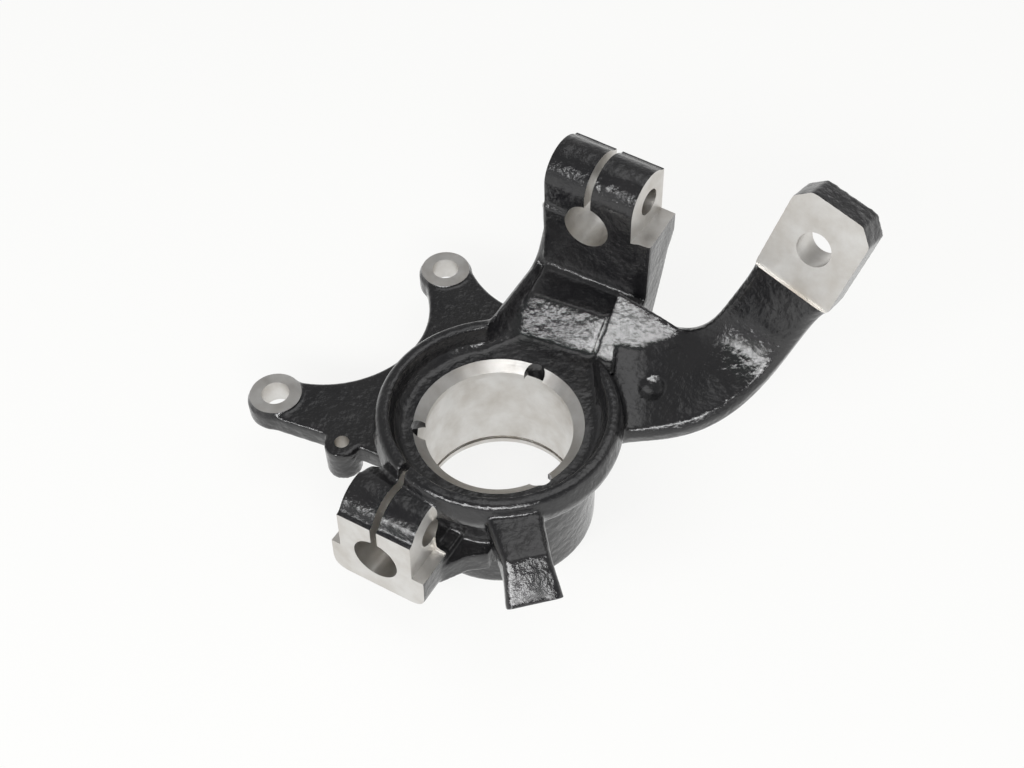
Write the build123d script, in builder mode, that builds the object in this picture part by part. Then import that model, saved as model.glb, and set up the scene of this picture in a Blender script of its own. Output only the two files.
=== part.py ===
"""Steering knuckle: one iron casting, machined where it is fitted.

Frame: the origin is on the wheel-bearing axis, in the plane of the outboard
end face. +Z runs inboard along the bearing axis, +Y runs from the lower ball
joint to the upper one, and the steering arm leaves on the +X side.
"""
from build123d import *
from math import cos, radians, sin
import os

os.makedirs("parts", exist_ok=True)

# ---- wheel-bearing hub (millimetres, degrees) ---------------------------
bearing_bore_d = 72.0        # seat of the bearing's outer ring
boss_wall = 7.35             # iron round the bearing seat
seat_depth = 53.2            # end face to the shoulder under the lip
lip_reach = 3.4              # how far the locating lip stands into the bore
lip_land = 3.0               # straight land of the lip
lead_in_w = 4.9              # turned lead-in cone above the lip, radially
lead_in_h = 3.6              # and along the axis
ring_groove_z = 3.2          # retaining-ring groove, from the end face
ring_groove_w = 2.2
ring_groove_depth = 1.5
notch_r = 4.8                # puller notches through the lip
notch_count = 3
notch_angle = 91.7           # first notch, from +X
end_chamfer = 1.2

# ---- flange and rim -----------------------------------------------------
flange_t = 4.3               # bowl floor to the flange underside
parting_r = 54.8             # flange radius at the mould parting line
parting_h = 2.6              # parting line above the bowl floor
flange_blend = 7.0           # underside to the boss
rim_h = 11.5                 # rim's top above the bowl floor
rim_w = 5.4                  # rim's flat top
rim_draft = 2.2              # the outside's draft above the parting line
bowl_draft = 1.6
bowl_blend = 3.0
cast_r = 2.0                 # general edge radius of the casting

# ---- ball-joint clamps --------------------------------------------------
stud_bore_d = 21.5           # bore for the ball-joint stud
pinch_bolt_d = 12.5          # clearance bore of the pinch bolt
slit_w = 3.2

low_seat = (-17.9, -74.2, 38.5)    # centre of the machined seat face
low_tilt = -2.9                    # rise of the stud axis
low_ear_w = 36.0                   # across the milled bolt faces
low_body_left = 22.6               # cast body beside the stud axis
low_body_right = 23.9
low_ledge = 1.5                    # milled ledges below the stud axis
low_body_below = 19.0
low_depth = 31.3                   # seat face to the back of the ears
low_face_top = 19.4
low_crown_r = 15.5                 # rounded crown over the pinch bolt
low_bolt_in = 15.6                 # pinch bolt from the seat face
low_bolt_up = 12.7                 # pinch bolt above the stud axis
low_bore_depth = 31.0
low_body_r = 6.0                   # cast corners under the stud

up_seat = (-0.4, 112.0, 107.3)
up_tilt = 2.2
up_yaw = 4.2
up_ear_w = 44.8
up_body_left = 24.6
up_body_right = 29.0
up_ledge = 0.2                     # milled ledges above the stud axis
up_depth = 27.4
up_face_top = 24.0
up_crown_r = 15.0
up_bolt_in = 12.2
up_bolt_up = 13.8

# ---- neck from the flange to the upper clamp ----------------------------
neck_left = 29.5                   # left rib beside the trough
neck_rib_h = 13.7                  # rib's top above the bowl floor
neck_front_y = 84.0                # front face under the clamp
neck_under_z = 36.0                # underside where it leaves the boss
neck_edge = 3.0                    # bevel of the cast edges
neck_foot_r = 9.0                  # neck's top into the front face
# (Y, Z) of the rear side, from the centre of the clamp's seat
neck_rear = ((-6.0, -18.3), (-10.0, -30.3), (-18.0, -50.3))
trough_left = 16.5                 # half widths of the trough's floor
trough_right = 16.5
trough_from = 128.0                # where its walls leave the bowl's, from +X
trough_to = 42.0
trough_foot_y = 50.0               # where the floor starts to climb
trough_skew = 4.0                  # the climb starts later on the right
trough_flare = 8.0                 # opening of the left wall
ramp_rise = 16.5                   # the 45 degree ramp's height
rib_bevel = 7.0                    # slope on the inside of the left rib
groove_depth = 1.5                 # shallow groove between ramp and shoulder

shoulder_foot_h = 3.2              # foot of the 45 degree slope above the bowl floor
# (X, crest's Y, its height above the floor) at the neck and far out on the arm
shoulder_sections = ((20.0, 73.2, 27.2), (52.0, 74.0, 17.2))
shoulder_step = 6.0                # level land in front of the slope

# ---- steering arm -------------------------------------------------------
pad_hole = (99.5, 84.8, 139.4)     # tie-rod hole on the machined face
pad_normal = (-0.122, -0.967, 0.226)
pad_up = (0.236, 0.193, 0.953)
pad_w = 37.0
pad_above = 21.8                   # hole to the arm's end
pad_below = 21.5                   # hole to the foot of the milled face
pad_corner = 6.5
pad_skin = 1.6                     # cast skin milled away
pad_t = 14.8
arm_edge = 3.0                     # cut corners of the arm's section
tie_rod_hole_d = 15.3
dimple = (50.5, 44.5, 71.0)        # centre of the round hollow in the arm's root
dimple_r = 8.5
# (inner edge, outer edge, outward normal, thickness) from flange to pad
arm_stations = (
    ((20.0, 76.0, 72.0), (46.0, 14.0, 62.5), (0.00, -0.15, 0.98), 13.0),
    ((46.0, 76.8, 76.0), (70.0, 32.0, 63.8), (-0.10, -0.36, 0.93), 12.0),
    ((58.5, 76.7, 82.6), (85.0, 47.0, 69.5), (-0.22, -0.60, 0.77), 12.0),
    ((66.6, 78.4, 94.2), (96.5, 67.0, 79.5), (-0.24, -0.80, 0.55), 12.5),
    ((71.8, 80.6, 107.0), (104.4, 76.0, 99.5), (-0.16, -0.93, 0.33), 14.0),
)

# ---- caliper bracket ----------------------------------------------------
ear_low = (-111.5, -18.0)
ear_up = (-84.3, 90.6)
ear_d = 27.0
ear_face_d = 24.0
ear_face_up = 1.0                  # machined faces above the plate
ear_hole_d = 13.1
plate_top_z = 33.8
plate_t = 11.3
plate_edge_r = 1.2
ear_neck_r = 4.0                   # plate's outline where it meets an ear
clip_boss = (-68.4, -26.2)         # small boss for a hose or sensor clip
clip_boss_d = 16.5
clip_boss_h = 17.8
clip_hole_d = 6.8                  # tapping bore of an M8 thread

# ---- steering-stop tab --------------------------------------------------
stop_turn = -46.5                  # direction of the tab from +X
stop_offset = 5.9                  # tab's centre line beside the hub axis
stop_top_h = 6.2                   # tab's top above the bowl floor
stop_break_r = 73.5                # where the top turns down
stop_end_r = 88.0
stop_drop = 13.0                   # fall of the sloping stop face
stop_t = 13.0
stop_w = (23.4, 20.0, 24.6)        # width at the flange, the break and the end
stop_edge = 1.8                    # bevel round the tab's top

# ---- derived ------------------------------------------------------------
hub_face_z = seat_depth + lip_land + lead_in_h
flange_under_z = hub_face_z - flange_t
parting_z = hub_face_z + parting_h
rim_top_z = hub_face_z + rim_h
neck_rib_z = hub_face_z + neck_rib_h
stop_top_z = hub_face_z + stop_top_h
shoulder_foot_z = hub_face_z + shoulder_foot_h
bore_r = bearing_bore_d / 2
lip_r = bore_r - lip_reach
boss_r = bore_r + boss_wall
neck_rise = neck_rib_h + 1.0
rim_outer_r = parting_r - rim_draft
rim_inner_r = rim_outer_r - rim_w
bowl_floor_r = rim_inner_r - bowl_draft
low_dir = Vector(0, cos(radians(low_tilt)), sin(radians(low_tilt)))
low_side = Plane(origin=low_seat, x_dir=low_dir, z_dir=(1, 0, 0))
low_front = Plane(origin=low_seat, x_dir=(-1, 0, 0), z_dir=low_dir)
up_right = Vector(cos(radians(up_yaw)), -sin(radians(up_yaw)), 0)
up_dir = Vector(
    sin(radians(up_yaw)) * cos(radians(up_tilt)),
    cos(radians(up_yaw)) * cos(radians(up_tilt)),
    sin(radians(up_tilt)),
)
up_side = Plane(origin=up_seat, x_dir=up_dir * -1, z_dir=up_right * -1)
up_back = Plane(origin=up_seat, x_dir=up_right, z_dir=up_dir * -1)
pad_across = Vector(*pad_up).cross(Vector(*pad_normal)).normalized()
pad_plane = Plane(origin=pad_hole, x_dir=pad_across, z_dir=pad_normal)
stop_out = Vector(cos(radians(stop_turn)), sin(radians(stop_turn)), 0)
stop_across = Vector(sin(radians(stop_turn)), -cos(radians(stop_turn)), 0)
stop_side = Plane(origin=stop_across * stop_offset, x_dir=stop_out, z_dir=stop_across)


def cast_section(width, thickness, corner):
    """Points of a rectangle with cut corners, its top edge on the X axis."""
    half, low = width / 2, thickness
    return (
        (corner - half, 0), (half - corner, 0), (half, corner), (half, low - corner),
        (half - corner, low), (corner - half, low), (-half, low - corner), (-half, corner),
    )


def on_ear(vertex):
    """True where the plate's outline runs into an ear."""
    gaps = [
        abs((Vector(vertex.X, vertex.Y) - Vector(*ear)).length - ear_d / 2)
        for ear in (ear_low, ear_up)
    ]
    return min(gaps) < 0.01


def arm_plane(inner, outer, normal):
    """Plane across the arm: origin midway on the top face, +Y into the iron."""
    across = (Vector(*outer) - Vector(*inner)).normalized()
    middle = (Vector(*outer) + Vector(*inner)) * 0.5
    return Plane(origin=middle, x_dir=across, z_dir=Vector(*normal).cross(across))


# ---- hub: boss, flange and rim in one turn about the bearing axis -------
with BuildPart() as hub:
    with BuildSketch(Plane.XZ) as hub_profile:
        with BuildLine():
            Polyline(
                (0, 0), (boss_r, 0), (boss_r, flange_under_z),
                (parting_r - 1.4, flange_under_z), (parting_r, parting_z),
                (rim_outer_r, rim_top_z), (rim_inner_r, rim_top_z),
                (bowl_floor_r, hub_face_z), (0, hub_face_z), (0, 0),
            )
        make_face()
        corners = hub_profile.vertices()
        chamfer(corners.sort_by_distance((boss_r, 0))[0], end_chamfer)
        chamfer(corners.sort_by_distance((boss_r, flange_under_z))[0], flange_blend)
        chamfer(corners.sort_by_distance((parting_r - 1.4, flange_under_z))[0], cast_r)
        chamfer(corners.sort_by_distance((rim_outer_r, rim_top_z))[0], 0.7 * cast_r)
        chamfer(corners.sort_by_distance((bowl_floor_r, hub_face_z))[0], bowl_blend)
    revolve(axis=Axis.Z)

# ---- caliper bracket: one plate between two ears, hollowed at the back --
with BuildPart() as bracket:
    with BuildSketch(Plane.XY.offset(plate_top_z - plate_t)) as plate_outline:
        with BuildLine():
            near = ThreePointArc((-107.0, -5.5), (-90.0, 3.0), (-76.8, 18.5))
            far = TangentArc(near @ 1, (-78.9, 66.0), tangent=near % 1)
            last = TangentArc(far @ 1, (-91.0, 81.0), tangent=far % 1)
            flank = ThreePointArc((-76.0, 100.5), (-60.0, 89.5), (-40.0, 85.0))
            Line(last @ 1, flank @ 0)
            Polyline(
                flank @ 1, (-26, 85), (-10, 60), (0, 0), (-40, -24), (-78, -26.2),
                (-112, -30.8), near @ 0,
            )
        make_face()
        with Locations(ear_low, ear_up):
            Circle(ear_d / 2)
        fillet(plate_outline.vertices().filter_by(on_ear), ear_neck_r)
    extrude(amount=plate_t)
    chamfer(bracket.faces().sort_by(Axis.Z)[-1].edges(), plate_edge_r)
    chamfer(bracket.faces().sort_by(Axis.Z)[0].edges(), plate_edge_r)
    with BuildSketch(Plane.XY.offset(plate_top_z)):
        with Locations(clip_boss):
            Circle(clip_boss_d / 2)
    extrude(amount=-clip_boss_h)

# ---- lower clamp: two ears on a cast body -------------------------------
with BuildPart() as low_clamp:
    with BuildSketch(low_front) as low_body:
        with BuildLine():
            Polyline(
                (-low_body_right, -low_ledge), (low_body_left, -low_ledge),
                (low_body_left, -low_body_below), (-low_body_right, -low_body_below),
                (-low_body_right, -low_ledge),
            )
        make_face()
        fillet(low_body.vertices().group_by(Axis.Y)[0], low_body_r)
    extrude(amount=low_depth + low_body_r)
    with BuildSketch(low_side):
        with Locations((low_depth / 2, (low_bolt_up - low_body_below) / 2)):
            Rectangle(low_depth, low_bolt_up + low_body_below)
        with Locations((low_bolt_in / 2, (low_face_top - low_body_below) / 2)):
            Rectangle(low_bolt_in, low_face_top + low_body_below)
        with Locations((low_depth - low_crown_r, low_bolt_up)):
            Circle(low_crown_r)
    extrude(amount=low_ear_w / 2 - low_body_r, both=True)
    with BuildSketch(low_side):
        with Locations((low_depth / 2, (low_bolt_up - low_ledge) / 2)):
            Rectangle(low_depth, low_bolt_up + low_ledge)
        with Locations((low_bolt_in / 2, (low_face_top - low_ledge) / 2)):
            Rectangle(low_bolt_in, low_face_top + low_ledge)
        with Locations((low_depth - low_crown_r, low_bolt_up)):
            Circle(low_crown_r)
    extrude(amount=low_ear_w / 2, both=True)

# ---- steering-stop tab: side view trimmed by its plan view --------------
with BuildPart() as stop_tab:
    with BuildSketch(stop_side) as stop_view:
        with BuildLine():
            Polyline(
                (boss_r - 4, stop_top_z), (stop_break_r, stop_top_z),
                (stop_end_r, stop_top_z - stop_drop),
                (stop_end_r - stop_t * 0.55, stop_top_z - stop_drop - stop_t * 0.8),
                (stop_break_r - stop_t * 0.45, stop_top_z - stop_t),
                (boss_r - 4, stop_top_z - stop_t), (boss_r - 4, stop_top_z),
            )
        make_face()
        turned = stop_view.vertices()
        fillet(turned.sort_by_distance((stop_break_r - stop_t * 0.45, stop_top_z - stop_t))[0], 5)
        chamfer(turned.sort_by_distance((stop_end_r, stop_top_z - stop_drop))[0], 3.0)
    extrude(amount=max(stop_w), both=True)
    stop_plan = Plane(
        origin=stop_across * stop_offset + Vector(0, 0, stop_top_z - 3 * stop_t),
        x_dir=stop_out, z_dir=(0, 0, 1),
    )
    with BuildSketch(stop_plan):
        with BuildLine():
            Polyline(
                (0, -stop_w[0] / 2), (parting_r, -stop_w[0] / 2),
                (stop_break_r, -stop_w[1] / 2), (stop_end_r, -stop_w[2] / 2),
                (stop_end_r + 10, -stop_w[2] / 2), (stop_end_r + 10, stop_w[2] / 2),
                (stop_end_r, stop_w[2] / 2), (stop_break_r, stop_w[1] / 2),
                (parting_r, stop_w[0] / 2), (0, stop_w[0] / 2), (0, -stop_w[0] / 2),
            )
        make_face()
    extrude(amount=4 * stop_t, mode=Mode.INTERSECT)
    tab_top = stop_tab.faces().filter_by(lambda f: f.normal_at().Z > 0.5)
    chamfer(tab_top.edges().filter_by(
        lambda e: abs(e.tangent_at(0.5).dot(stop_across)) < 0.6 and e.center().length > boss_r
    ), stop_edge)

# ---- neck: rib, ramp and column under the upper clamp -------------------
rear_points = [(up_seat[1] + dy, up_seat[2] + dz) for dy, dz in neck_rear]
with BuildPart() as neck:
    with BuildSketch(Plane.YZ.offset(-neck_left)) as neck_view:
        with BuildLine():
            Polyline(
                (bore_r, neck_rib_z), (neck_front_y, neck_rib_z),
                (neck_front_y + neck_foot_r, neck_rib_z + 2 * neck_foot_r), *rear_points,
                (boss_r, neck_under_z), (bore_r, neck_under_z), (bore_r, neck_rib_z),
            )
        make_face()
        fillet(neck_view.vertices().sort_by_distance((neck_front_y, neck_rib_z))[0], neck_foot_r)
    extrude(amount=neck_left + up_body_right)
    chamfer(neck.faces().sort_by(Axis.X)[0].edges().filter_by(
        lambda e: e.center().Y > bore_r + 1), neck_edge)
    # Right of the trough the block falls away in front of the shoulder.
    groove_y = trough_foot_y + trough_skew + groove_depth
    with BuildSketch(Plane.YZ.offset(trough_right)):
        with BuildLine():
            Polyline(
                (0, hub_face_z), (groove_y, hub_face_z),
                (groove_y + neck_rise, hub_face_z + neck_rise), (0, hub_face_z + neck_rise),
                (0, hub_face_z),
            )
        make_face()
    extrude(amount=2 * up_body_right, mode=Mode.SUBTRACT)
    with BuildSketch(Plane.YZ.offset(-up_body_left)) as column_view:
        with BuildLine():
            Polyline(
                (neck_front_y, hub_face_z), (neck_front_y, up_seat[2] + up_ledge),
                (up_seat[1], up_seat[2] + up_ledge),
                (up_seat[1], up_seat[2] - stud_bore_d / 2), *rear_points[:2],
                (neck_front_y, hub_face_z),
            )
        make_face()
    extrude(amount=up_body_left + up_body_right)

# ---- upper clamp: ears over the column ----------------------------------
with BuildPart() as up_clamp:
    with BuildSketch(up_side):
        with Locations((up_depth / 2, up_bolt_up / 2)):
            Rectangle(up_depth, up_bolt_up)
        with Locations((up_bolt_in / 2, up_face_top / 2)):
            Rectangle(up_bolt_in, up_face_top)
        with Locations((up_depth - up_crown_r, up_bolt_up)):
            Circle(up_crown_r)
        with Locations((up_depth / 2, 0)):
            Rectangle(up_depth, 80, mode=Mode.INTERSECT)
    extrude(amount=up_ear_w / 2, both=True)

# ---- shoulder between the neck and the steering arm ---------------------
with BuildPart() as shoulder:
    for x, crest_y, crest_h in shoulder_sections:
        crest_z = hub_face_z + crest_h
        foot_y = crest_y - (crest_z - shoulder_foot_z)
        with BuildSketch(Plane.YZ.offset(x)):
            with BuildLine():
                Polyline(
                    (foot_y - shoulder_step, shoulder_foot_z), (foot_y, shoulder_foot_z),
                    (crest_y, crest_z), (77.0, crest_z - 6), (77.0, flange_under_z),
                    (foot_y - shoulder_step, flange_under_z),
                    (foot_y - shoulder_step, shoulder_foot_z),
                )
            make_face()
    loft(ruled=True)

# ---- steering arm, lofted from the flange to the tie-rod pad ------------
with BuildPart() as steering_arm:
    for inner, outer, normal, thickness in arm_stations:
        with BuildSketch(arm_plane(inner, outer, normal)):
            width = (Vector(*outer) - Vector(*inner)).length
            Polygon(*cast_section(width, thickness, arm_edge), align=None)
    with BuildSketch(Plane(
        origin=pad_plane.origin - pad_plane.y_dir * pad_below + pad_plane.z_dir * pad_skin,
        x_dir=pad_plane.x_dir, z_dir=pad_plane.y_dir,
    )):
        Polygon(*cast_section(pad_w, pad_t + pad_skin, arm_edge), align=None)
    loft()
    with BuildSketch(pad_plane.offset(-pad_t)):
        with Locations((0, (pad_above - pad_below) / 2)):
            Rectangle(pad_w, pad_above + pad_below)
    extrude(amount=pad_t)
    far_corners = steering_arm.edges().filter_by(
        lambda e: abs(abs(e.tangent_at(0.5).dot(pad_plane.z_dir)) - 1) < 1e-4
        and abs(e.length - pad_t) < 0.01
    )
    chamfer(far_corners.sort_by(Axis.Z)[-2:], pad_corner)

# ---- the casting, then what is machined ---------------------------------
with BuildPart() as steering_knuckle:
    add(hub.part)
    add(bracket.part)
    add(low_clamp.part)
    add(neck.part)
    add(up_clamp.part)
    add(shoulder.part)
    add(steering_arm.part)
    add(stop_tab.part)

    # Web from the lower clamp's flank to the boss.
    with BuildSketch(Plane.XY.offset(low_seat[2] - low_body_below)):
        with BuildLine():
            Polyline(
                (5.0, -62.0), (12.5, -50.5), (20.0, -45.0), (20.0, -30), (0, -38), (5.0, -62.0),
            )
        make_face()
    extrude(amount=12.0)

    # Bowl inside the rim, kept clear of the neck and the arms.
    with BuildSketch(Plane.XZ) as bowl_profile:
        with BuildLine():
            Polyline(
                (0, hub_face_z), (bowl_floor_r, hub_face_z), (rim_inner_r, rim_top_z),
                (rim_inner_r + bowl_draft * 4, rim_top_z + rim_h * 4),
                (0, rim_top_z + rim_h * 4), (0, hub_face_z),
            )
        make_face()
        chamfer(bowl_profile.vertices().sort_by_distance((bowl_floor_r, hub_face_z))[0], bowl_blend)
    revolve(axis=Axis.Z, mode=Mode.SUBTRACT)

    # Trough: the bowl's way out into the neck, with a flared wall and a ramp.
    for climb in (0.0, ramp_rise):
        flare = trough_flare * climb / ramp_rise
        leave = bowl_floor_r - 1 + 0.3 * flare
        with BuildSketch(Plane.XY.offset(hub_face_z + climb)):
            with BuildLine():
                Polyline(
                    (leave * cos(radians(trough_from)), leave * sin(radians(trough_from))),
                    (-trough_left - flare, trough_foot_y + climb),
                    (trough_right + flare / 3, trough_foot_y + trough_skew + climb),
                    (trough_right + 4 + flare / 6, trough_foot_y),
                    (leave * cos(radians(trough_to)), leave * sin(radians(trough_to))),
                    (0, 0),
                    (leave * cos(radians(trough_from)), leave * sin(radians(trough_from))),
                )
            make_face()
    loft(ruled=True, mode=Mode.SUBTRACT)
    rib_in = neck_edge - neck_left
    for y, size in ((bowl_floor_r, rib_bevel), (neck_front_y, rib_bevel / 2)):
        with BuildSketch(Plane.XZ.offset(-y)):
            with BuildLine():
                Polyline(
                    (rib_in, neck_rib_z), (rib_in, neck_rib_z + 2),
                    (rib_in + size, neck_rib_z + 2), (rib_in + size, neck_rib_z - size),
                    (rib_in, neck_rib_z),
                )
            make_face()
    loft(ruled=True, mode=Mode.SUBTRACT)

    # Round hollow in the root of the steering arm.
    with Locations(dimple):
        Sphere(dimple_r, mode=Mode.SUBTRACT)

    # Bearing seat, locating lip, lead-in and retaining-ring groove.
    with BuildSketch(Plane.XZ):
        with BuildLine():
            Polyline(
                (0, -1), (bore_r, -1), (bore_r, ring_groove_z),
                (bore_r + ring_groove_depth, ring_groove_z),
                (bore_r + ring_groove_depth, ring_groove_z + ring_groove_w),
                (bore_r, ring_groove_z + ring_groove_w), (bore_r, seat_depth),
                (lip_r, seat_depth), (lip_r, seat_depth + lip_land),
                (lip_r + lead_in_w, hub_face_z), (lip_r + lead_in_w, hub_face_z + 1),
                (0, hub_face_z + 1), (0, -1),
            )
        make_face()
    revolve(axis=Axis.Z, mode=Mode.SUBTRACT)
    with BuildSketch(Plane.XY.offset(seat_depth - 0.5)):
        with PolarLocations(lip_r + 1, notch_count, start_angle=notch_angle):
            Circle(notch_r)
    extrude(amount=hub_face_z - seat_depth + 1, mode=Mode.SUBTRACT)

    # Lower clamp: stud bore, slit and pinch-bolt hole.
    with BuildSketch(low_front):
        Circle(stud_bore_d / 2)
    extrude(amount=low_bore_depth, mode=Mode.SUBTRACT)
    with BuildSketch(low_front):
        with Locations((0, low_depth)):
            Rectangle(slit_w, 2 * low_depth)
    extrude(amount=low_bore_depth, mode=Mode.SUBTRACT)
    with BuildSketch(low_side):
        with Locations((low_bolt_in, low_bolt_up)):
            Circle(pinch_bolt_d / 2)
    extrude(amount=low_ear_w / 2 + 1, both=True, mode=Mode.SUBTRACT)

    # Upper clamp: seat face, stud bore, slit and pinch-bolt hole.
    with BuildSketch(up_back):
        Rectangle(3 * up_ear_w, 3 * up_ear_w)
    extrude(amount=-up_depth, mode=Mode.SUBTRACT)
    with BuildSketch(up_back):
        Circle(stud_bore_d / 2)
    extrude(amount=2 * up_depth, mode=Mode.SUBTRACT)
    with BuildSketch(up_back):
        with Locations((0, up_depth)):
            Rectangle(slit_w, 2 * up_depth)
    extrude(amount=1.5 * up_depth, mode=Mode.SUBTRACT)
    with BuildSketch(up_side):
        with Locations((up_bolt_in, up_bolt_up)):
            Circle(pinch_bolt_d / 2)
    extrude(amount=up_ear_w / 2 + 1, both=True, mode=Mode.SUBTRACT)

    # Tie-rod pad: the cast skin milled off the face, and the hole.
    with BuildSketch(pad_plane):
        with Locations((0, (pad_above - pad_below) / 2 + pad_corner)):
            Rectangle(2 * pad_w, pad_above + pad_below + 2 * pad_corner)
    extrude(amount=4 * pad_skin, mode=Mode.SUBTRACT)
    with BuildSketch(pad_plane):
        Circle(tie_rod_hole_d / 2)
    extrude(amount=-2 * pad_t, mode=Mode.SUBTRACT)

    # Caliper ears and the clip boss.
    with BuildSketch(Plane.XY.offset(plate_top_z)):
        with Locations(ear_low, ear_up):
            Circle(ear_face_d / 2)
    extrude(amount=ear_face_up)
    with BuildSketch(Plane.XY.offset(plate_top_z + ear_face_up)):
        with Locations(ear_low, ear_up):
            Circle(ear_hole_d / 2)
    extrude(amount=-2 * plate_t, mode=Mode.SUBTRACT)
    with BuildSketch(Plane.XY.offset(plate_top_z)):
        with Locations(clip_boss):
            Circle(clip_hole_d / 2)
    extrude(amount=-clip_boss_h, mode=Mode.SUBTRACT)

steering_knuckle.part.label = "steering_knuckle"
export_step(steering_knuckle.part, "parts/steering_knuckle.step")
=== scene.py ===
from math import cos, pi, radians, sin

import bmesh
import bpy
from mathutils import Matrix, Vector


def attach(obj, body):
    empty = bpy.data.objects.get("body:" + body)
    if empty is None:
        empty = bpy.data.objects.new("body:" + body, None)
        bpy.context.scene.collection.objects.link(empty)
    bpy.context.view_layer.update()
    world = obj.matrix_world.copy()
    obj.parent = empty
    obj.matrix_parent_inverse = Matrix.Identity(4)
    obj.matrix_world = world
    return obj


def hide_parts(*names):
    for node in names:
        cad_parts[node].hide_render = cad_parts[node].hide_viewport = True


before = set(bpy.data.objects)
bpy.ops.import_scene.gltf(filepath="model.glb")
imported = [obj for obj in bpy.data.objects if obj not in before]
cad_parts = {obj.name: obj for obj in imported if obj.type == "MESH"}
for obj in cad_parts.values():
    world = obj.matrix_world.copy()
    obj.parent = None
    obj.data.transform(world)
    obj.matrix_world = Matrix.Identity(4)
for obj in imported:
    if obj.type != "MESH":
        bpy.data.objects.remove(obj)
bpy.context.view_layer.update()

scene = bpy.context.scene
MM = 0.001


# ---------------------------------------------------------------- camera
camera = bpy.data.objects.new("camera", bpy.data.cameras.new("camera"))
scene.collection.objects.link(camera)
camera.matrix_world = Matrix(
    (
        (0.86868, -0.36974, 0.32968, 0.19637),
        (0.49512, 0.66954, -0.55369, -0.31770),
        (-0.01601, 0.64421, 0.76468, 0.52961),
        (0.0, 0.0, 0.0, 1.0),
    )
)
camera.data.sensor_width = 36.0
camera.data.lens = 48.347
camera.data.clip_start, camera.data.clip_end = 0.02, 50.0
scene.camera = camera


# ------------------------------------------------------------- materials
class Nodes:
    """Short spelling for building a node material."""

    def __init__(self, name):
        self.material = bpy.data.materials.new(name)
        self.material.use_nodes = True
        self.tree = self.material.node_tree
        self.tree.nodes.clear()
        self.out = self.add("ShaderNodeOutputMaterial")

    def add(self, kind, **values):
        node = self.tree.nodes.new(kind)
        for key, value in values.items():
            setattr(node, key, value)
        return node

    def link(self, a, b):
        self.tree.links.new(a, b)

    def noise(self, vector, scale, detail=2.0, rough=0.5):
        node = self.add("ShaderNodeTexNoise")
        self.link(vector, node.inputs["Vector"])
        node.inputs["Scale"].default_value = scale
        node.inputs["Detail"].default_value = detail
        node.inputs["Roughness"].default_value = rough
        return node.outputs["Fac"]

    def map(self, value, low, high, to_low=0.0, to_high=1.0):
        node = self.add("ShaderNodeMapRange")
        self.link(value, node.inputs["Value"])
        node.inputs["From Min"].default_value = low
        node.inputs["From Max"].default_value = high
        node.inputs["To Min"].default_value = to_low
        node.inputs["To Max"].default_value = to_high
        return node.outputs["Result"]

    def math(self, op, a, b=None):
        node = self.add("ShaderNodeMath", operation=op)
        for socket, value in zip(node.inputs, (a, b)):
            if value is None:
                continue
            if isinstance(value, (int, float)):
                socket.default_value = value
            else:
                self.link(value, socket)
        return node.outputs["Value"]

    def mix(self, factor, a, b):
        node = self.add("ShaderNodeMix", data_type="RGBA")
        self.link(factor, node.inputs["Factor"])
        for socket, value in ((node.inputs["A"], a), (node.inputs["B"], b)):
            if isinstance(value, tuple):
                socket.default_value = value
            else:
                self.link(value, socket)
        return node.outputs["Result"]

    def bump(self, height, distance, strength=1.0, normal=None):
        node = self.add("ShaderNodeBump")
        node.inputs["Strength"].default_value = strength
        node.inputs["Distance"].default_value = distance
        self.link(height, node.inputs["Height"])
        if normal is not None:
            self.link(normal, node.inputs["Normal"])
        return node.outputs["Normal"]


def coated_iron():
    """Glossy black coating over a rough cast skin."""
    n = Nodes("coated_iron")
    place = n.add("ShaderNodeTexCoord").outputs["Object"]
    shader = n.add("ShaderNodeBsdfPrincipled")
    n.link(shader.outputs[0], n.out.inputs["Surface"])
    peel = n.noise(place, 420.0, 3.0, 0.55)
    lumps = n.noise(place, 130.0, 2.0, 0.5)
    grit = n.noise(place, 1500.0, 2.0, 0.6)
    normal = n.bump(lumps, 0.0011, 0.9)
    normal = n.bump(peel, 0.00042, 1.0, normal)
    normal = n.bump(grit, 0.00006, 1.0, normal)
    n.link(normal, shader.inputs["Normal"])
    patches = n.noise(place, 60.0, 4.0, 0.6)
    dull = n.map(patches, 0.35, 0.7, 0.13, 0.26)
    n.link(dull, shader.inputs["Roughness"])
    tone = n.map(n.noise(place, 35.0, 3.0), 0.3, 0.7)
    n.link(
        n.mix(tone, (0.006, 0.006, 0.007, 1), (0.014, 0.0135, 0.014, 1)),
        shader.inputs["Base Color"],
    )
    shader.inputs["IOR"].default_value = 1.5
    shader.inputs["Coat Weight"].default_value = 0.35
    shader.inputs["Coat Roughness"].default_value = 0.12
    return n.material


def machined_iron(name, axis_scale, rough=0.24):
    """Bare machined metal, with tool marks stretched across axis_scale."""
    n = Nodes(name)
    coord = n.add("ShaderNodeTexCoord").outputs["Object"]
    mapping = n.add("ShaderNodeMapping")
    mapping.inputs["Scale"].default_value = axis_scale
    n.link(coord, mapping.inputs["Vector"])
    marks = n.noise(mapping.outputs["Vector"], 1.0, 3.0, 0.6)
    shader = n.add("ShaderNodeBsdfPrincipled")
    n.link(shader.outputs[0], n.out.inputs["Surface"])
    shader.inputs["Metallic"].default_value = 1.0
    n.link(n.bump(marks, 0.00004, 0.8), shader.inputs["Normal"])
    stain = n.map(n.noise(coord, 70.0, 4.0, 0.6), 0.35, 0.75)
    n.link(
        n.mix(stain, (0.72, 0.71, 0.69, 1), (0.55, 0.52, 0.48, 1)),
        shader.inputs["Base Color"],
    )
    n.link(
        n.map(n.noise(coord, 160.0, 3.0), 0.3, 0.7, rough, rough + 0.12),
        shader.inputs["Roughness"],
    )
    return n.material


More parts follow.
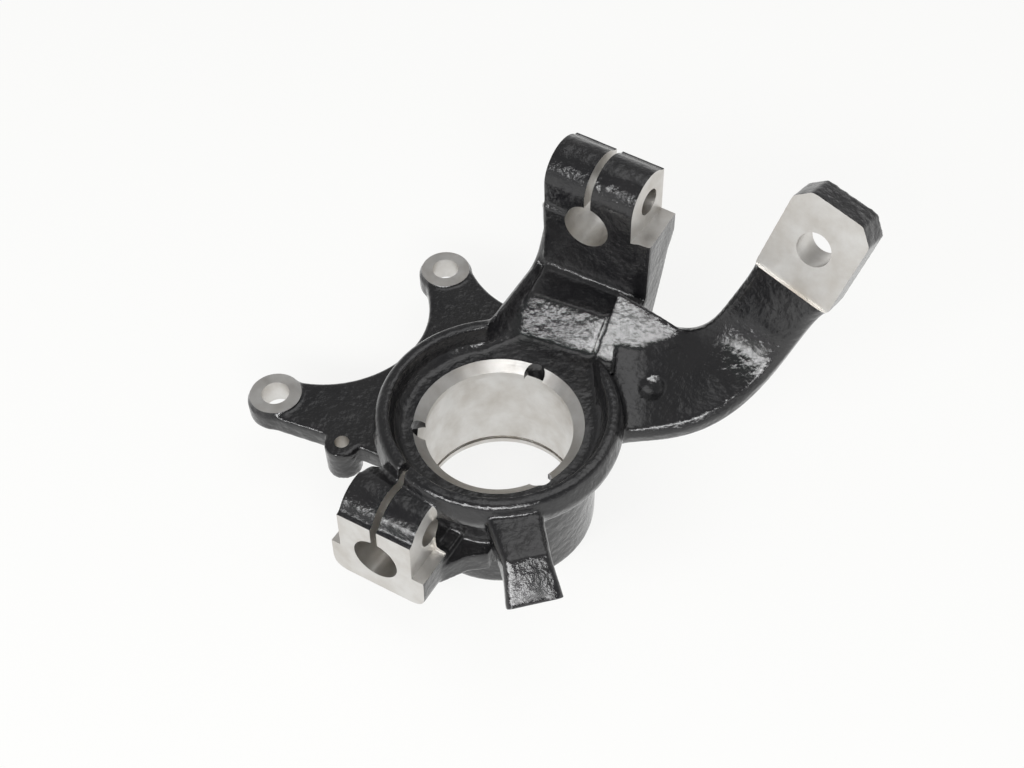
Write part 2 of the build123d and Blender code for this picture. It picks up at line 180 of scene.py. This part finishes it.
coat = coated_iron()
turned = machined_iron("turned_iron", (60.0, 60.0, 2600.0), 0.32)
milled = machined_iron("milled_iron", (900.0, 900.0, 900.0), 0.34)
drilled = machined_iron("drilled_iron", (700.0, 700.0, 700.0), 0.3)


# ---------------------------------------------- the casting, then its cuts
# Places and lengths in millimetres, in the part's own frame.
LOW_SEAT, LOW_TILT = Vector((-17.9, -74.2, 38.5)), radians(-2.9)
UP_SEAT, UP_TILT, UP_YAW = Vector((-0.4, 112.0, 107.3)), radians(2.2), radians(4.2)
PAD = Vector((99.5, 84.8, 139.4))
PAD_OUT = Vector((-0.122, -0.967, 0.226)).normalized()
PAD_UP = Vector((0.236, 0.193, 0.953)).normalized()
PAD_ACROSS = PAD_UP.cross(PAD_OUT).normalized()
PAD_UP = PAD_OUT.cross(PAD_ACROSS).normalized()
EARS = ((-111.5, -18.0), (-84.3, 90.6))
CLIP = (-68.4, -26.2)
STUD_R, PINCH_R, TIE_R, EAR_R, CLIP_R = 10.75, 6.25, 7.65, 6.55, 3.4
FLOOR_Z = 59.8


def axes(x, y):
    """Rotation whose columns are x, y and their cross product."""
    z = x.cross(y)
    return Matrix((x, y, z)).transposed()


# Each clamp's frame: X into the iron from the seat, Y up, Z to the side.
low_in = Vector((0, cos(LOW_TILT), sin(LOW_TILT)))
LOW = (LOW_SEAT, axes(low_in, Vector((0, -sin(LOW_TILT), cos(LOW_TILT)))))
up_right = Vector((cos(UP_YAW), -sin(UP_YAW), 0))
up_in = -Vector((sin(UP_YAW) * cos(UP_TILT), cos(UP_YAW) * cos(UP_TILT), sin(UP_TILT)))
UP = (UP_SEAT, axes(up_in, up_right.cross(-up_in)))
UP_LEVEL = (UP_SEAT, axes(Vector((-sin(UP_YAW), -cos(UP_YAW), 0)), Vector((0, 0, 1))))
PAD_AT = (PAD, axes(PAD_ACROSS, PAD_UP))
WORLD = (Vector((0, 0, 0)), Matrix.Identity(3))


def prism(mesh, at, outline, low, high):
    """Adds the outline, drawn in a frame's X and Y, drawn out along its Z."""
    origin, turn = at
    rings = [
        [mesh.verts.new(origin + turn @ Vector((x, y, z))) for x, y in outline]
        for z in (low, high)
    ]
    count = len(outline)
    for i in range(count):
        j = (i + 1) % count
        mesh.faces.new((rings[0][i], rings[0][j], rings[1][j], rings[1][i]))
    mesh.faces.new(rings[0][::-1])
    mesh.faces.new(rings[1])


def circle(x, y, r, count=96):
    turn = 2 * pi / count
    return [(x + r * cos(i * turn), y + r * sin(i * turn)) for i in range(count)]


def rect(x0, y0, x1, y1):
    return [(x0, y0), (x1, y0), (x1, y1), (x0, y1)]


def cylinder_x(mesh, at, y, z, r, low, high):
    """A cylinder along a frame's X axis."""
    origin, turn = at
    along = (origin, turn @ Matrix(((0, 0, 1), (1, 0, 0), (0, 1, 0))))
    prism(mesh, along, circle(y, z, r), low, high)


def lathe(mesh, profile, count=160):
    """Adds the closed solid turned from (radius, z) points that start and end on the axis."""
    rings = []
    for r, z in profile:
        if r == 0:
            rings.append([mesh.verts.new((0, 0, z))])
        else:
            rings.append(
                [mesh.verts.new((r * cos(a), r * sin(a), z)) for a in
                 (2 * pi * i / count for i in range(count))]
            )
    for one, two in zip(rings, rings[1:]):
        for i in range(count):
            j = (i + 1) % count
            corners = [one[i % len(one)], one[j % len(one)], two[j % len(two)], two[i % len(two)]]
            mesh.faces.new(list(dict.fromkeys(corners)))


def solid(name, build, finish=0):
    """A closed mesh object, in metres, from a function that draws it in millimetres."""
    work = bmesh.new()
    build(work)
    bmesh.ops.recalc_face_normals(work, faces=work.faces)
    bmesh.ops.scale(work, vec=(MM, MM, MM), verts=work.verts)
    for face in work.faces:
        face.material_index = finish
    mesh = bpy.data.meshes.new(name)
    work.to_mesh(mesh)
    work.free()
    for material in FINISHES:
        mesh.materials.append(material)
    made = bpy.data.objects.new(name, mesh)
    scene.collection.objects.link(made)
    return made


def applied(piece, kind, **values):
    """Runs one modifier on a piece and keeps the result."""
    modifier = piece.modifiers.new(kind, kind)
    for key, value in values.items():
        setattr(modifier, key, value)
    graph = bpy.context.evaluated_depsgraph_get()
    made = bpy.data.meshes.new_from_object(piece.evaluated_get(graph))
    piece.modifiers.clear()
    old, piece.data = piece.data, made
    bpy.data.meshes.remove(old)


def crown(x, y, r, first, last, count=40):
    """Points of an arc, from one angle to another in degrees."""
    return [
        (x + r * cos(radians(first + (last - first) * i / count)),
         y + r * sin(radians(first + (last - first) * i / count)))
        for i in range(count + 1)
    ]


# What the mould leaves for the cutters: closed holes and spare skin.
SPARE = 1.6
# Cells of the cast skin, how often it is smoothed, and the share of faces kept.
SKIN_CELL, SKIN_PASSES, SKIN_KEPT = 0.9 * MM, 9, 0.42
CREASE = radians(32)


def low_stock(m):
    side = [(-SPARE, -17.0), (31.3, -17.0), (31.3, 12.7)]
    side += crown(15.8, 12.7, 15.5, 0, 154)[1:] + [(-SPARE, 19.4)]
    prism(m, LOW, side, -18.0, 18.0)
    prism(m, LOW, [(-SPARE, -14), (18, -14), (18, 12.7)] + crown(15.8, 12.7, 15.5, 81, 154)
          + [(-SPARE, 19.4)], -18.0 - SPARE, 18.0 + SPARE)
    origin, turn = LOW
    front = (origin, turn @ Matrix(((0, 0, 1), (0, 1, 0), (-1, 0, 0))))
    body = [(22.6, 0), (22.6, -13), (21, -17), (16.6, -19), (-17.9, -19), (-22, -17.3),
            (-23.9, -13), (-23.9, 0)]
    prism(m, front, body, -SPARE, 20.0)


def up_stock(m):
    side = [(-SPARE, -10.0), (27.4, -10.0), (27.4, 13.8)]
    side += crown(12.4, 13.8, 15.0, 0, 137)[1:] + [(-SPARE, 24.0)]
    prism(m, UP, side, -22.4 - SPARE, 22.4 + SPARE)
    prism(m, WORLD, rect(-24.6, 84.0, 29.0, 112 + SPARE), 96.5, 107.5 + SPARE)


def pad_stock(m):
    corner = 6.5
    prism(m, PAD_AT, [(-18.5, -21.5), (18.5, -21.5), (18.5, 21.8 - corner), (18.5 - corner, 21.8),
                      (corner - 18.5, 21.8), (-18.5, 21.8 - corner)], -14.8, SPARE)


def hub_stock(m):
    lathe(m, [(0, -2), (42.2, -2), (42.2, 6), (40, 10), (40, FLOOR_Z), (0, FLOOR_Z)])


def ear_stock(m):
    for x, y in EARS:
        prism(m, WORLD, circle(x, y, 12.0), 28, 34.8 + SPARE)
        prism(m, WORLD, circle(x, y, 8.0), 22.5, 30)
    prism(m, WORLD, circle(*CLIP, 6.0), 16.0, 33.8)


# What the cutters take away.
def hub_cut(m):
    lathe(m, [
        (0, -8), (60, -8), (60, 0), (36.7, 0), (36, 0.7), (36, 3.2), (37.5, 3.2), (37.5, 5.4),
        (36, 5.4), (36, 53.2), (32.6, 53.2), (32.6, 56.2), (37.5, FLOOR_Z), (37.5, 62), (0, 62),
    ])


def notch_cut(m):
    for angle in (91.7, 211.7, 331.7):
        x, y = 33.6 * cos(radians(angle)), 33.6 * sin(radians(angle))
        prism(m, WORLD, circle(x, y, 4.8, 48), 52.7, 63)


def low_cut(m):
    prism(m, LOW, rect(-9, -30, 0, 40), -30, 30)


def low_flanks(m):
    for low, high in ((-32, -18), (18, 32)):
        prism(m, LOW, rect(-4, -1.5, 18, 34), low, high)


def low_bore(m):
    cylinder_x(m, LOW, 0, 0, STUD_R, -4, 31)


def low_slit(m):
    prism(m, LOW, rect(-4, 0, 31, 44), -1.6, 1.6)


def low_pinch(m):
    prism(m, LOW, circle(15.6, 12.7, PINCH_R, 64), -30, 19.9)


def up_cut(m):
    prism(m, UP, rect(-9, -16, 0, 40), -40, 40)


def up_flanks(m):
    for low, high in ((-40, -22.4), (22.4, 40)):
        prism(m, UP_LEVEL, rect(-6, 0.2, 31, 40), low, high)


def up_bore(m):
    cylinder_x(m, UP, 0, 0, STUD_R, -4, 32)


def up_slit(m):
    prism(m, UP, rect(-4, 0, 32, 44), -1.6, 1.6)


def up_pinch(m):
    prism(m, UP, circle(12.2, 13.8, PINCH_R, 64), -30, 30)


def pad_cut(m):
    prism(m, PAD_AT, rect(-30, -21.5, 30, 34), 0, 9)


def pad_hole(m):
    prism(m, PAD_AT, circle(0, 0, TIE_R), -24, 4)


def ear_cut(m):
    for x, y in EARS:
        prism(m, WORLD, circle(x, y, 14.5), 34.8, 42)


def ear_holes(m):
    for x, y in EARS:
        prism(m, WORLD, circle(x, y, EAR_R), 14, 38)
    prism(m, WORLD, circle(*CLIP, CLIP_R, 48), 10, 38)


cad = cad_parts["steering_knuckle"]
FINISHES = (coat, turned, milled, drilled)
COAT, TURNED, MILLED, DRILLED = range(4)
casting = bpy.data.objects.new("casting", cad.data.copy())
scene.collection.objects.link(casting)
casting.data.materials.clear()
for material in FINISHES:
    casting.data.materials.append(material)
work = bmesh.new()
work.from_mesh(casting.data)
bmesh.ops.remove_doubles(work, verts=work.verts, dist=1e-7)
for stock in (low_stock, up_stock, pad_stock, hub_stock, ear_stock):
    extra = solid("stock", stock)
    work.from_mesh(extra.data)
    bpy.data.objects.remove(extra)
for face in work.faces:
    face.material_index = COAT
work.to_mesh(casting.data)
work.free()

# The cast skin, with its edges rounded.
applied(casting, "REMESH", mode="VOXEL", voxel_size=SKIN_CELL)
applied(casting, "SMOOTH", factor=0.5, iterations=SKIN_PASSES)
applied(casting, "DECIMATE", ratio=SKIN_KEPT)
for cut, finish in (
    (hub_cut, TURNED), (notch_cut, COAT), (low_cut, MILLED), (low_flanks, MILLED),
    (low_bore, DRILLED), (low_slit, MILLED), (low_pinch, DRILLED), (up_cut, MILLED),
    (up_flanks, MILLED), (up_bore, DRILLED), (up_slit, MILLED), (up_pinch, DRILLED),
    (pad_cut, MILLED), (pad_hole, DRILLED), (ear_cut, TURNED), (ear_holes, DRILLED),
):
    tool = solid("tool", cut, finish)
    applied(casting, "BOOLEAN", object=tool, operation="DIFFERENCE", solver="MANIFOLD")
    bpy.data.objects.remove(tool)

mesh = casting.data
mesh.shade_smooth()
mesh.set_sharp_from_angle(angle=CREASE)
work = bmesh.new()
work.from_mesh(mesh)
for edge in work.edges:
    if len({face.material_index for face in edge.link_faces}) > 1:
        edge.smooth = False
work.to_mesh(mesh)
work.free()
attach(casting, "root")
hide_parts("steering_knuckle")


# ------------------------------------------------------ floor and lights
def light(name, place, aim, size, power):
    lamp = bpy.data.objects.new(name, bpy.data.lights.new(name, "AREA"))
    scene.collection.objects.link(lamp)
    lamp.data.shape = "RECTANGLE"
    lamp.data.size, lamp.data.size_y = size
    lamp.data.energy = power
    lamp.location = place
    lamp.rotation_euler = (Vector(aim) - Vector(place)).to_track_quat("-Z", "Y").to_euler()


CENTRE = Vector((0.0, 0.02, 0.06))
light("strip", CENTRE + Vector((0.34, -1.46, 1.09)), CENTRE, (2.3, 0.36), 42.0)
light("ceiling", CENTRE + Vector((0.1, 0.5, 1.6)), CENTRE, (1.4, 1.2), 6.0)

floor_mesh = bpy.data.meshes.new("floor")
half = 6.0
floor_mesh.from_pydata(
    [(-half, -half, 0), (half, -half, 0), (half, half, 0), (-half, half, 0)], [], [(0, 1, 2, 3)]
)
floor = bpy.data.objects.new("floor", floor_mesh)
scene.collection.objects.link(floor)
floor.location.z = -0.0002
f = Nodes("floor")
diffuse = f.add("ShaderNodeBsdfDiffuse")
diffuse.inputs["Color"].default_value = (0.8, 0.8, 0.79, 1)
glow = f.add("ShaderNodeEmission")
glow.inputs["Color"].default_value = (1, 1, 0.99, 1)
glow.inputs["Strength"].default_value = 1.0
path = f.add("ShaderNodeLightPath")
seen = f.math("MAXIMUM", path.outputs["Is Camera Ray"], path.outputs["Is Glossy Ray"])
blend = f.add("ShaderNodeMixShader")
f.link(f.math("MULTIPLY", seen, 0.86), blend.inputs["Fac"])
f.link(diffuse.outputs[0], blend.inputs[1])
f.link(glow.outputs[0], blend.inputs[2])
f.link(blend.outputs[0], f.out.inputs["Surface"])
floor_mesh.materials.append(f.material)

world = bpy.data.worlds.new("studio")
world.use_nodes = True
scene.world = world
tree = world.node_tree
tree.nodes.clear()
out = tree.nodes.new("ShaderNodeOutputWorld")
back = tree.nodes.new("ShaderNodeBackground")
path = tree.nodes.new("ShaderNodeLightPath")
coord = tree.nodes.new("ShaderNodeTexCoord")
split = tree.nodes.new("ShaderNodeSeparateXYZ")
tree.links.new(coord.outputs["Generated"], split.inputs[0])
rise = tree.nodes.new("ShaderNodeMapRange")
rise.inputs["From Min"].default_value = 0.0
rise.inputs["From Max"].default_value = 0.55
rise.inputs["To Min"].default_value = 0.75
rise.inputs["To Max"].default_value = 0.26
tree.links.new(split.outputs["Z"], rise.inputs["Value"])
pick = tree.nodes.new("ShaderNodeMix")
pick.data_type = "FLOAT"
tree.links.new(path.outputs["Is Camera Ray"], pick.inputs["Factor"])
tree.links.new(rise.outputs["Result"], pick.inputs[2])
pick.inputs[3].default_value = 1.0
back.inputs["Color"].default_value = (1, 1, 1, 1)
tree.links.new(pick.outputs[0], back.inputs["Strength"])
tree.links.new(back.outputs[0], out.inputs["Surface"])

scene.view_settings.view_transform = "Standard"
